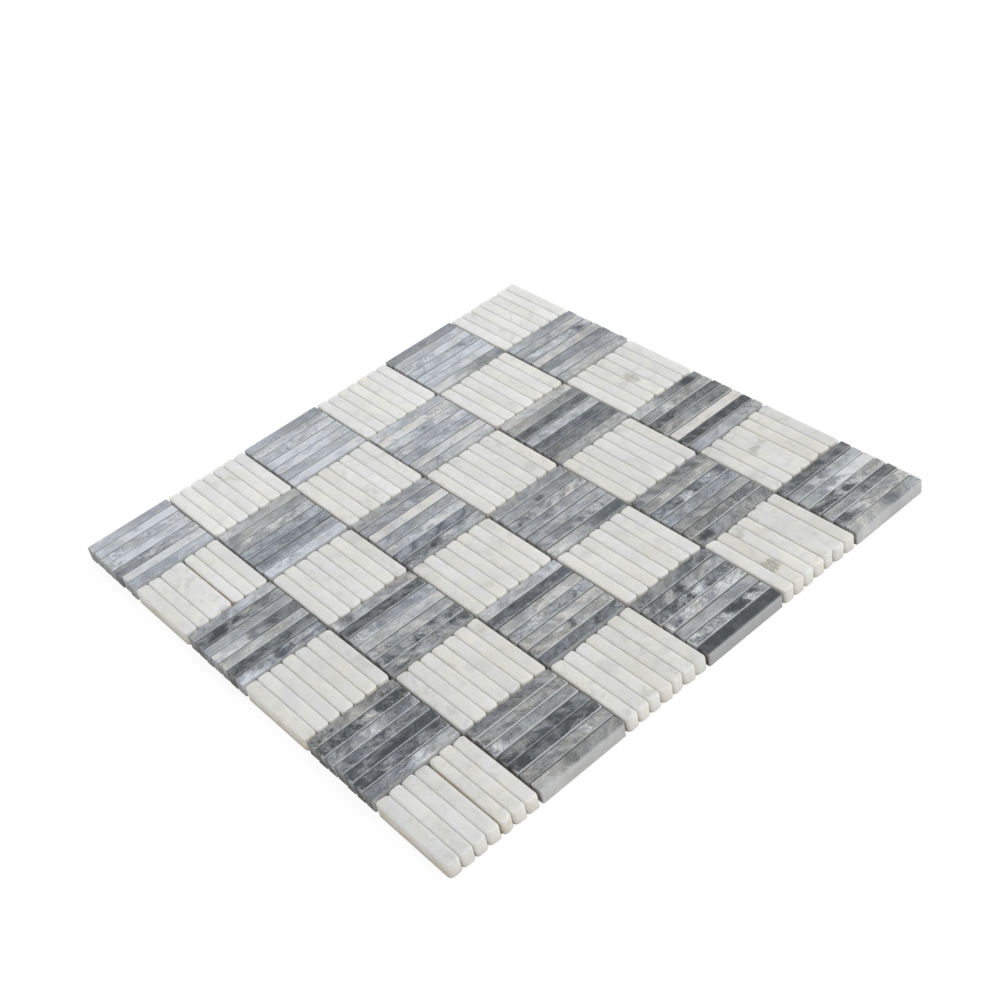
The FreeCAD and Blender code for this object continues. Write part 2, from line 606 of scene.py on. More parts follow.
@dataclass(frozen=True)
class GlassFibre:
    """Coated white glass-fibre yarn, with its filaments along the yarn."""

    fibre: tuple = srgb(226, 226, 220)
    resin: tuple = srgb(196, 194, 182)

    def material(self) -> bpy.types.Material:
        """Builds the yarn's material.

        Returns:
            The material, for meshes whose UV map runs along the yarn.
        """
        finish, w, shader = new_material("glass_fibre_mesh")
        strands = w.node("ShaderNodeUVMap", uv_map=YARN_MAP)["UV"]
        filament = w.noise(strands * (9.0, 0.6, 1.0), 1.0, detail=2.0)
        coat = w.noise(w.here(), 0.35).smooth(0.4, 0.7)
        colour = w.mix(coat, self.fibre, self.resin) * (0.92 + filament * 0.14)
        w.fill(shader, {"Base Color": colour, "Roughness": 0.42 + coat * 0.2})
        w.relief(shader, filament * 0.03)
        return finish


def store(mesh: bpy.types.Mesh, label: str, numbers: object, domain: str = "POINT") -> None:
    """Writes an attribute of plain numbers into a mesh."""
    mesh.attributes.new(label, "FLOAT", domain).data.foreach_set("value", numbers)


def places_of(mesh: bpy.types.Mesh) -> np.ndarray:
    """Reads where a mesh's vertices are, a row for each."""
    places = np.zeros(len(mesh.vertices) * 3)
    mesh.vertices.foreach_get("co", places)
    return places.reshape(-1, 3)


@dataclass(frozen=True)
class StripForm:
    """One marble strip, centred on the origin with its underside at height 0."""

    length: float
    width: float
    thickness: float
    corner_radius: float
    corner_steps: int
    soft_side: float
    soft_end: float
    side_drop: float
    end_drop: float
    soft_steps: int
    side_steps: int
    back_wear: float
    worn_margin: float = 0.5 * MM

    def outline(self, side_inset: float, end_inset: float) -> list[tuple[float, float, float]]:
        """The strip's plan, lengthwise along Y.

        Args:
            side_inset: How far inside the full plan its long sides lie.
            end_inset: How far inside the full plan its ends lie.

        Returns:
            Its points, anticlockwise from the right side's far end, each with how much it belongs to an end.
        """
        half_x = self.width / 2 - side_inset
        half_y = self.length / 2 - end_inset
        radius = max(self.corner_radius - side_inset, self.corner_radius / 3)
        points = []
        for quarter, (side_x, side_y) in enumerate(((1, 1), (-1, 1), (-1, -1), (1, -1))):
            centre = Vector((side_x * (half_x - radius), side_y * (half_y - radius)))
            for step in range(self.corner_steps + 1):
                turn = (quarter + step / self.corner_steps) * QUARTER_TURN
                x, y = centre + radius * Vector((math.cos(turn), math.sin(turn)))
                points.append((x, y, math.sin(turn) ** 2))
            if quarter % 2 == 1:
                reach = (half_y - radius) * side_y
                for step in range(1, self.side_steps):
                    points.append((side_x * half_x, reach - 2 * reach * step / self.side_steps, 0.0))
        return points

    def side_points(self) -> tuple[list[int], list[int]]:
        """The outline's points along the left and the right side, each from the near end to the far end."""
        corner, between = self.corner_steps + 1, self.side_steps - 1
        near_left = 2 * corner + between
        left = list(range(near_left, 2 * corner - 2, -1))
        right = list(range(near_left + 2 * corner - 1, near_left + 2 * corner + between)) + [0]
        return left, right

    def rings(self) -> list[tuple[float, float, float, float]]:
        """The level rings that the strip's skin is drawn through.

        Returns:
            Each ring's side inset, end inset, share of the worn edge's drop that it lies down and wear, from the
            foot of the worn edge to inside the polished face.
        """
        rings = []
        for step in range(self.soft_steps + 1):
            turn = step / self.soft_steps * QUARTER_TURN
            inwards, down = 1 - math.cos(turn), 1 - math.sin(turn)
            rings.append((self.soft_side * inwards, self.soft_end * inwards, down, 1.0))
        rings.append((self.soft_side + self.worn_margin, self.soft_end + self.worn_margin, 0.0, 0.0))
        return rings

    def mesh(self, name: str, run: Run) -> bpy.types.Mesh:
        """Builds the strip's mesh, with masks of its wear and its flanks and its lengthwise share.

        Args:
            name: The mesh's name.
            run: The axis that it lies along.

        Returns:
            A closed mesh.
        """
        rings = self.rings()
        plans = [self.outline(side_inset, end_inset) for side_inset, end_inset, _, _ in rings]
        around = len(plans[0])
        points = [(x, y, 0.0) for x, y, _ in plans[0]]
        wear = [0.0] * around
        for (_, _, down, worn), plan in zip(rings, plans):
            for x, y, endwise in plan:
                drop = self.side_drop + (self.end_drop - self.side_drop) * endwise
                points.append((x, y, self.thickness - drop * down))
                wear.append(worn if x > 0 else worn * self.back_wear)
        corners = points if run is Run.ALONG_Y else [(y, -x, height) for x, y, height in points]
        faces = [tuple(reversed(range(around)))]
        for level in range(len(rings)):
            low, high = level * around, (level + 1) * around
            for index in range(around):
                after = (index + 1) % around
                faces.append((low + index, low + after, high + after, high + index))
        faces.append(tuple(range(len(rings) * around, (len(rings) + 1) * around)))
        mesh = bpy.data.meshes.new(name)
        mesh.from_pydata(corners, [], faces)
        mesh.shade_smooth()
        side, upright = [], []
        for polygon in mesh.polygons:
            level = Vector(polygon.normal[:2])
            side.append(abs(level.normalized()[1 - run.value]) if level.length > 0.1 else 1.0)
            upright.append(1.0 if polygon.normal.z < 0.1 else 0.0)
        store(mesh, "wear", wear)
        store(mesh, "along", [0.5 + corner[run.value] / self.length for corner in corners])
        store(mesh, "side", side, "FACE")
        store(mesh, "upright", upright, "FACE")
        base = [all(mesh.vertices[end].co.z == 0.0 for end in edge.vertices) for edge in mesh.edges]
        mesh.attributes.new("sharp_edge", "BOOLEAN", "EDGE").data.foreach_set("value", base)
        return mesh


class StripLayer:
    """The geometry tree that lays a row of strips on every block's starting point."""

    def __init__(self) -> None:
        """Builds the tree."""
        inputs = (Port("Blocks", SHAPE), Port("Strip", "NodeSocketObject"), Port("Strips", WHOLE, STRIPS),
                  Port("Step", VECTOR), Port("Pressed Step", VECTOR), Port("Least Scale", VECTOR, (1.0, 1.0, 1.0)),
                  Port("Most Scale", VECTOR, (1.0, 1.0, 1.0)), Port("Stray", VECTOR), Port("Turn", value=0.0),
                  Port("Waviness", VECTOR), Port("Wave Length", value=0.01), Port("Seed", WHOLE, 1),
                  Port("Finish", "NodeSocketMaterial"))
        w, given = new_group("lay_strips", GEOMETRY, inputs, (Port("Strips", SHAPE),))
        copies = w.node("GeometryNodeDuplicateElements", {"Geometry": given["Blocks"], "Amount": given["Strips"]},
                        domain="POINT")
        number = w.named("block") * given["Strips"] + copies["Duplicate Index"]
        numbered = w.node("GeometryNodeStoreNamedAttribute",
                          {"Geometry": copies["Geometry"], "Name": "strip", "Value": number},
                          data_type="FLOAT", domain="POINT")
        strip, seed = w.named("strip"), given["Seed"]
        place = w.math("FLOORED_MODULO", strip, given["Strips"])
        row = given["Step"] * place
        pressed = given["Pressed Step"] * self.press(w, place)
        stray = w.random(given["Stray"] * -1.0, given["Stray"], strip, seed)
        seat = w.node("GeometryNodeSetPosition", {"Geometry": numbered["Geometry"], "Offset": row + pressed + stray})
        axis = w.vector(Z=given["Turn"])
        laid = w.node("GeometryNodeInstanceOnPoints", {
            "Points": seat["Geometry"],
            "Instance": w.node("GeometryNodeObjectInfo", {"Object": given["Strip"]})["Geometry"],
            "Rotation": w.random(axis * -1.0, axis, strip, seed),
            "Scale": w.random(given["Least Scale"], given["Most Scale"], strip, seed + 1.0),
        })
        real = w.node("GeometryNodeRealizeInstances", {"Geometry": laid["Instances"]})
        place_now = w.node("GeometryNodeInputPosition")[0]
        wave = w.node("ShaderNodeTexNoise", {"Vector": place_now, "W": strip + seed, "Detail": 1.0,
                                             "Scale": 1.0 / given["Wave Length"]}, noise_dimensions="4D")["Color"]
        waved = w.node("GeometryNodeSetPosition",
                       {"Geometry": real["Geometry"], "Offset": (wave - EVEN) * given["Waviness"]})
        dressed = w.node("GeometryNodeSetMaterial", {"Geometry": waved["Geometry"], "Material": given["Finish"]})
        self.tree = w.give(Strips=dressed["Geometry"])

    @staticmethod
    def press(w: Wiring, place: Signal) -> Signal:
        """Says which way a strip moves to touch its neighbour, where its block has a pressed pair.

        Args:
            w: The tree's wiring.
            place: The strip's place in its block, from 0.

        Returns:
            1 for the pair's first strip, -1 for its second and 0 for the others.
        """
        ahead = place - w.named("pressed_place")
        return w.math("COMPARE", ahead, 0.0, 0.1) - w.math("COMPARE", ahead, 1.0, 0.1)


def run_tree(piece: bpy.types.Object, tree: bpy.types.NodeTree, values: dict[str, object], crisp: bool) -> None:
    """Runs a geometry tree on a piece and keeps the result as its plain mesh.

    Args:
        piece: The object whose mesh the tree starts from.
        tree: The geometry tree.
        values: The tree's inputs by name.
        crisp: Whether large faces are shaded flat right up to their eased edges.
    """
    modifier = piece.modifiers.new(tree.name, "NODES")
    modifier.node_group = tree
    if crisp:
        normals = piece.modifiers.new("crisp_normals", "WEIGHTED_NORMAL")
        normals.mode, normals.weight, normals.keep_sharp = "FACE_AREA", 100, True
    for socket in tree.interface.items_tree:
        if socket.in_out == "INPUT" and socket.name in values:
            modifier[socket.identifier] = values[socket.name]
    bpy.context.scene.collection.objects.link(piece)
    start = piece.data
    evaluated = piece.evaluated_get(bpy.context.evaluated_depsgraph_get())
    mesh = bpy.data.meshes.new_from_object(evaluated)
    mesh.name = piece.name
    piece.modifiers.clear()
    piece.data = mesh
    bpy.data.meshes.remove(start)


@dataclass(frozen=True)
class Block:
    """One block of the parquet."""

    column: int
    row: int

    @property
    def name(self) -> str:
        """The block's name in the parquet, such as c4."""
        return f"{COLUMNS[self.column]}{self.row + 1}"

    @property
    def white(self) -> bool:
        """Whether the block is one of the white ones."""
        return (self.column + self.row) % 2 == 0

    @property
    def node(self) -> str:
        """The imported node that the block's strips stand for."""
        return f"{'white' if self.white else 'grey'}_block_{self.name}"


@dataclass(frozen=True)
class Parting:
    """A wide gap before one strip of a block: the strip, and how far its side gives way at its near and far end."""

    strip: int
    near: float
    far: float


@dataclass(frozen=True)
class Unevenness:
    """How far strips stray from even ones: their scale, place and turn, and the waves of their sides."""

    least: tuple[float, float, float]
    most: tuple[float, float, float]
    stray: tuple[float, float]
    waves: tuple[float, float]
    wave_length: float
    turn: float = math.radians(0.12)

    def inputs(self) -> dict[str, object]:
        """The laying tree's inputs by name."""
        return {"Least Scale": self.least, "Most Scale": self.most, "Stray": (*self.stray, 0.0), "Turn": self.turn,
                "Waviness": (*self.waves, 0.0), "Wave Length": self.wave_length}


SPOT_ATTRIBUTES = ("spot_x", "spot_y", "spot_size", "spot_shade")
NO_SPOT = Spot(0.5, 0.0, 0.0)
NO_PAIR = -9.0
QUARRY_REACH = 400


class MarbleStrips:
    """The strips of one stone, a piece for each column of the parquet."""

    stone: str
    run: Run
    crisp: bool
    unevenness: Unevenness
    attributes: tuple[str, ...]
    press_in = 0.0
    PRESSED: dict[str, int] = {}
    SPOTS: dict[str, dict[int, Spot]]

    def __init__(self, form: StripForm, gap: float, layer: StripLayer, finish: bpy.types.Material, seed: int) -> None:
        """Keeps what the strips are made from.

        Args:
            form: The shape of one strip.
            gap: The gap between two strips of a block.
            layer: The tree that lays them.
            finish: The stone's material.
            seed: The seed of everything random.
        """
        self.form, self.gap, self.layer, self.finish, self.seed = form, gap, layer, finish, seed
        self.random = random.Random(seed)

    def paint(self, block: Block, place: int) -> dict[str, float]:
        """The values of a strip's attributes."""
        raise NotImplementedError

    def pressed(self, block: Block) -> int:
        """The first strip, from 1, of the pair that was glued hard together, or 0 for none."""
        return self.PRESSED.get(block.name, 0)

    def spot(self, block: Block, place: int, chance: Spot = NO_SPOT) -> dict[str, float]:
        """Works out where a strip's blotch or fleck lies on the sheet.

        Args:
            block: The strip's block.
            place: Its place in the block, from 1.
            chance: The spot of a strip that has none of its own.

        Returns:
            The values of the strip's spot attributes, in millimetres.
        """
        spot = self.SPOTS.get(block.name, {}).get(place, chance)
        low, high = (Vector(corner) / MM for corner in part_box(block.node))
        shares = [(place - 0.5) / STRIPS, (place - 0.5) / STRIPS]
        shares[self.run.value] = spot.along
        x, y = (low[axis] + (high[axis] - low[axis]) * shares[axis] for axis in (0, 1))
        return dict(zip(SPOT_ATTRIBUTES, (x, y, spot.size, spot.shade)))

    def seats(self, name: str, chosen: list[Block]) -> bpy.types.Mesh:
        """Makes a point for each block, in the middle of its first strip's underside.

        Args:
            name: The mesh's name.
            chosen: The blocks.

        Returns:
            A mesh of loose points that know their block and its pressed pair.
        """
        points = []
        for block in chosen:
            low, high = (Vector(corner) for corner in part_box(block.node))
            seat = (low + high) / 2
            across = 1 - self.run.value
            seat[across], seat.z = low[across] + self.form.width / 2, low.z
            points.append(seat)
        mesh = bpy.data.meshes.new(name)
        mesh.from_pydata(points, [], [])
        store(mesh, "block", [float(index) for index in range(len(chosen))])
        store(mesh, "pressed_place", [self.pressed(block) - 1.0 if self.pressed(block) else NO_PAIR for block in chosen])
        return mesh

    def column(self, column: int) -> bpy.types.Object:
        """Lays and paints the strips of one column.

        Args:
            column: The column, from 0.

        Returns:
            The finished piece.
        """
        white = self.run is Run.ALONG_Y
        chosen = [block for row in range(ROWS) if (block := Block(column, row)).white is white]
        name = f"{self.stone}_strips_column_{COLUMNS[column]}"
        template = bpy.data.objects.new("strip_pattern", self.form.mesh("strip_pattern", self.run))
        piece = bpy.data.objects.new(name, self.seats(name, chosen))
        across = Vector((1, 0, 0)) if white else Vector((0, 1, 0))
        values = {"Strip": template, "Strips": STRIPS, "Step": tuple(across * (self.form.width + self.gap)),
                  "Pressed Step": tuple(across * self.press_in), "Seed": self.seed + column, "Finish": self.finish}
        run_tree(piece, self.layer.tree, values | self.unevenness.inputs(), self.crisp)
        pattern = template.data
        bpy.data.objects.remove(template)
        bpy.data.meshes.remove(pattern)
        self.dress(piece.data, chosen)
        for block in chosen:
            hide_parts(block.node)
        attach(piece, "root")
        log.info("%s: %d blocks, %d faces", name, len(chosen), len(piece.data.polygons))
        return piece

    def dress(self, mesh: bpy.types.Mesh, chosen: list[Block]) -> None:
        """Settles the strips and writes every strip's own stone into the piece's attributes.

        Args:
            mesh: The laid strips.
            chosen: Their blocks, in the order that they were laid.
        """
        strip = np.zeros(len(mesh.vertices))
        mesh.attributes["strip"].data.foreach_get("value", strip)
        strip = np.rint(strip).astype(int)
        painted = [self.paint(block, place) for block in chosen for place in range(1, STRIPS + 1)]
        patches = [[self.random.uniform(-QUARRY_REACH, QUARRY_REACH) for _ in range(3)] for _ in painted]
        for index, block in enumerate(chosen):
            if self.pressed(block):
                second = index * STRIPS + self.pressed(block)
                own_spot = {label: painted[second][label] for label in SPOT_ATTRIBUTES}
                painted[second] = painted[second - 1] | own_spot
                patches[second] = patches[second - 1]
        for label in self.attributes + SPOT_ATTRIBUTES:
            store(mesh, label, np.array([values[label] for values in painted], dtype=np.float32)[strip])
        moved = np.array(patches, dtype=np.float32)[strip]
        mesh.attributes.new("patch", "FLOAT_VECTOR", "POINT").data.foreach_set("vector", moved.ravel())
        for label in ("strip", "block", "pressed_place"):
            if label in mesh.attributes:
                mesh.attributes.remove(mesh.attributes[label])
        places = self.settle(places_of(mesh), strip, chosen)
        mesh.vertices.foreach_set("co", places.ravel())
        across = places[:, 1 - self.run.value]
        middle = (np.bincount(strip, across) / np.bincount(strip))[strip]
        outermost = np.where(across < middle, strip % STRIPS == 0, strip % STRIPS == STRIPS - 1)
        store(mesh, "open_side", outermost.astype(np.float32))
        self.join(mesh, chosen)

    def settle(self, places: np.ndarray, strip: np.ndarray, chosen: list[Block]) -> np.ndarray:
        """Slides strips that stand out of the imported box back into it.

        Args:
            places: The vertices' places.
            strip: Each vertex's strip, counted through the piece.
            chosen: The piece's blocks.

        Returns:
            The settled places.
        """
        low, high = (np.array(corner) for corner in CAD_BOUNDS)
        along = self.run.value
        count = len(chosen) * STRIPS
        first, last = np.full(count, np.inf), np.full(count, -np.inf)
        np.minimum.at(first, strip, places[:, along])
        np.maximum.at(last, strip, places[:, along])
        places[:, along] += (np.maximum(low[along] - first, 0) - np.maximum(last - high[along], 0))[strip]
        return np.clip(places, low, high)

    def join(self, mesh: bpy.types.Mesh, chosen: list[Block]) -> None:
        """Makes one body of strips that touch all along, where the stone has any."""


class WhiteStrips(MarbleStrips):
    """Tumbled white strips: uneven in length and width, with round corners and soft edges."""

    stone, run, crisp = "white", Run.ALONG_Y, False
    unevenness = Unevenness(least=(0.980, 0.992, 0.985), most=(1.002, 1.018, 1.0), stray=(0.05 * MM, 0.30 * MM),
                            waves=(0.25 * MM, 0.4 * MM), wave_length=14 * MM)
    attributes = ("tone", "cloudiness", "warmth", "veining", "stain", "bedding")
    press_in = 0.3 * MM
    PRESSED = {"a5": 3, "f2": 3, "e1": 5}
    VEINED = {"e1": (2,), "f4": (4,), "c3": (3,), "f2": (3, 4), "c1": (3,), "b6": (5,)}
    CLOUDED = {"a3": (7,), "b4": (7,), "a5": (3, 4), "a1": (1, 2, 3), "e1": (5, 6)}
    STAINED = {"a1": (1, 5, 7), "a5": (1, 4, 5), "a3": (1,), "b4": (1,), "b2": (3,)}
    SPOTS = {
        "e1": {2: Spot(0.34, 5.5, 0.95), 3: Spot(0.88, 4.0, 0.6), 4: Spot(0.72, 4.0, 0.3)},
        "f2": {3: Spot(0.57, 3.6, 0.7), 4: Spot(0.60, 3.4, 0.5)},
        "f4": {4: Spot(0.45, 5.5, 0.75), 3: Spot(0.45, 4.0, 0.3)},
        "c3": {3: Spot(0.22, 3.6, 0.3), 5: Spot(0.60, 4.0, 0.15)},
        "a1": {2: Spot(0.30, 4.6, 0.2), 4: Spot(0.70, 5.0, 0.16), 6: Spot(0.62, 4.6, 0.2)},
        "b2": {7: Spot(0.85, 3.6, 0.3), 5: Spot(0.45, 5.0, 0.16)},
        "d2": {2: Spot(0.80, 3.4, 0.3), 5: Spot(0.40, 5.0, 0.16)},
        "c1": {3: Spot(0.60, 5.0, 0.2), 6: Spot(0.35, 4.4, 0.2)},
        "b4": {7: Spot(0.80, 5.0, 0.25)},
    }
    PARTED = {"a1": Parting(5, 0.75 * MM, 1.2 * MM), "a5": Parting(5, 0.8 * MM, 0.8 * MM)}
    SLANT = 0.8 * MM
    POINT = 0.45 * MM
    END_SHARE = 0.8
    JOINED_LEVELS = 3

    def settle(self, places: np.ndarray, strip: np.ndarray, chosen: list[Block]) -> np.ndarray:
        """Wears the ends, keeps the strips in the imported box, opens wide gaps and closes pressed pairs.

        Args:
            places: The vertices' places.
            strip: Each vertex's strip, counted through the piece.
            chosen: The piece's blocks.

        Returns:
            The settled places.
        """
        self.wear_ends(places, strip)
        places = super().settle(places, strip, chosen)
        for index, block in enumerate(chosen):
            parting = self.PARTED.get(block.name)
            if parting:
                whole = strip == index * STRIPS + parting.strip - 1
                along = places[whole, 1]
                share = (along - along.min()) / (along.max() - along.min())
                given_way = parting.near + (parting.far - parting.near) * share
                middle = places[whole, 0].mean()
                places[whole, 0] += np.where(places[whole, 0] < middle, given_way, 0.0)
            if self.pressed(block):
                self.close(places, index * STRIPS + self.pressed(block) - 1)
        return places

    def wear_ends(self, places: np.ndarray, strip: np.ndarray) -> None:
        """Grinds each end of each strip to a slant and a blunt point of its own.

        Args:
            places: The vertices' places, which change.
            strip: Each vertex's strip, counted through the piece.
        """
        chance = random.Random(self.seed)
        for number in range(strip.max() + 1):
            corners = places[strip == number]
            middle = (corners.max(axis=0) + corners.min(axis=0)) / 2
            half_x, half_y = (corners.max(axis=0) - middle)[:2]
            across = (corners[:, 0] - middle[0]) / half_x
            along = (corners[:, 1] - middle[1]) / half_y
            for end in (-1, 1):
                slant, point = chance.uniform(-self.SLANT, self.SLANT), chance.uniform(0, self.POINT)
                ground = (abs(slant) + slant * across) / 2 + point * across ** 2
                corners[:, 1] -= np.where(along * end > self.END_SHARE, end * ground, 0.0)
            places[strip == number] = corners

    def close(self, places: np.ndarray, first: int) -> None:
        """Brings the facing sides of a pressed pair together, level with the pair's faces.

        Args:
            places: The vertices' places, which change.
            first: The pair's first strip, counted through the piece.
        """
        left, right = self.form.side_points()
        strips = places.reshape(-1, len(self.form.rings()) + 1, len(self.form.outline(0.0, 0.0)), 3)
        facing = ((first, right), (first + 1, left))
        top = sum(strips[number, :, :, 2].max() for number, _ in facing) / 2
        shared = sum(strips[number][:self.JOINED_LEVELS, points] for number, points in facing) / 2
        shared[..., 0] = shared[..., 0].mean()
        for number, points in facing:
            strips[number][:self.JOINED_LEVELS, points] = shared
            strips[number][1:, points, 2] = top

    def join(self, mesh: bpy.types.Mesh, chosen: list[Block]) -> None:
        """Makes one body of each pressed pair, so that no seam shows in the stone.

        Args:
            mesh: The settled strips.
            chosen: The piece's blocks.
        """
        left, right = self.form.side_points()
        around = len(self.form.outline(0.0, 0.0))
        levels = len(self.form.rings()) + 1
        body = bmesh.new()
        body.from_mesh(mesh)
        body.verts.ensure_lookup_table()
        merged, inner = {}, set()
        for index, block in enumerate(chosen):
            if not self.pressed(block):
                continue
            first = index * STRIPS + self.pressed(block) - 1
            for ours, theirs in zip(right, left):
                mine, other = ([body.verts[(number * levels + level) * around + point]
                                for level in range(self.JOINED_LEVELS)]
                               for number, point in ((first, ours), (first + 1, theirs)))
                merged |= {other[0]: mine[0], mine[2]: mine[1], other[1]: mine[1], other[2]: mine[1]}
                inner |= {*mine, *other}
        if merged:
            walls = [face for face in body.faces if all(corner in inner for corner in face.verts)]
            bmesh.ops.delete(body, geom=walls, context="FACES_ONLY")
            bmesh.ops.weld_verts(body, targetmap=merged)
            body.to_mesh(mesh)
        body.free()

    def paint(self, block: Block, place: int) -> dict[str, float]:
        """Chooses a strip's stone.

        Args:
            block: The strip's block.
            place: Its place in the block, from 1.

        Returns:
            Its attributes' values.
        """
        pick = self.random.uniform
        # Rows further back are painted lighter and cooler: a painted light gradient and haze towards the far side
        tone = pick(0.885, 0.955) + 0.0045 * block.row ** 2
        warmth = pick(0.15, 0.8) - 0.06 * block.row
        clouds = pick(0.1, 0.55)
        veining = pick(0.0, 0.06)
        stain = pick(0.0, 0.3)
        if place in self.CLOUDED.get(block.name, ()):
            tone, warmth, clouds = tone - 0.01, pick(0.0, 0.3), pick(0.4, 0.6)
        if place in self.VEINED.get(block.name, ()):
            veining = pick(0.3, 0.45)
        if place in self.STAINED.get(block.name, ()):
            stain = pick(0.7, 0.9)
        if block.column == 0 and place == 1:
            stain = 0.8
        if block.name in self.PARTED and place == self.PARTED[block.name].strip:
            stain = 1.6
        return {"tone": tone, "cloudiness": clouds, "warmth": warmth, "veining": veining, "stain": stain,
                "bedding": pick(-0.8, 0.8)} | self.spot(block, place)


